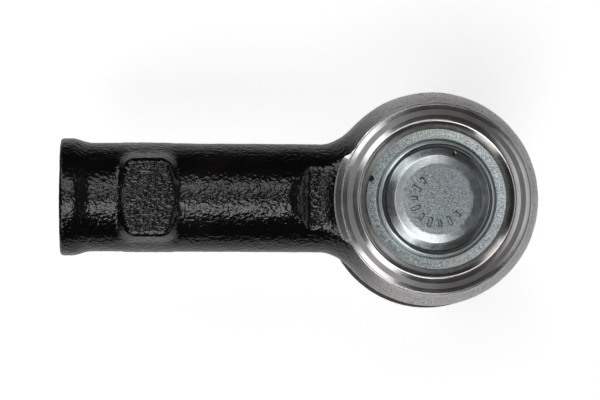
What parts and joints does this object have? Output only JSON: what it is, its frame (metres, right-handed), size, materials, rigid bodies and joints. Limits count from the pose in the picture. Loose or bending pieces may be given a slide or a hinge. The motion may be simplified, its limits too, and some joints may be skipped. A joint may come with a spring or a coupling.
{
  "type": "tie rod end",
  "caption": "Steering ball joint: round eye with a pressed cap, internally threaded shank, swinging taper stud, rubber boot, castle nut and split pin.",
  "frame": {"origin": "centre of the ball, where the stud pivots", "axes": "+X from the shank towards the eye along the shank's axis, +Z out through the cover cap; the stud points along -Z at rest"},
  "size_m": [0.0945, 0.0432, 0.0712],
  "materials": {
    "painted_forging": "glossy black paint over a pebbled forging",
    "zinc_cap": "zinc plated, matt and stippled",
    "spring_steel": "dark oiled spring steel",
    "bearing_plastic": "natural acetal",
    "stud_steel": "ground steel",
    "boot_rubber": "smooth black rubber",
    "ring_wire": "bright drawn wire",
    "zinc_hardware": "zinc plated"
  },
  "bodies": {
    "socket": {"housing": "painted_forging", "cover_cap": "zinc_cap", "preload_spring": "spring_steel", "upper_seat": "bearing_plastic", "lower_seat": "bearing_plastic", "boot_housing_ring": "ring_wire"},
    "boot": {"dust_boot": "boot_rubber"},
    "boot_foot": {"boot_neck_ring": "ring_wire", "boot_lip_insert": "ring_wire"},
    "stud": {"ball_stud": "stud_steel", "castle_nut": "zinc_hardware", "cotter_pin": "zinc_hardware"}
  },
  "joints": [
    {"name": "swing_sideways", "type": "hinge", "parent": "socket", "child": "boot", "pos_m": [0, 0, 0], "axis": [1, 0, 0], "range_deg": [-20, 20], "deforming": ["dust_boot"]},
    {"name": "swing_lengthwise", "type": "hinge", "parent": "boot", "child": "boot_foot", "pos_m": [0, 0, 0], "axis": [0, 1, 0], "range_deg": [-20, 20]},
    {"name": "stud_spin", "type": "hinge", "parent": "boot_foot", "child": "stud", "pos_m": [0, 0, 0], "axis": [0, 0, 1], "continuous": true}
  ]
}
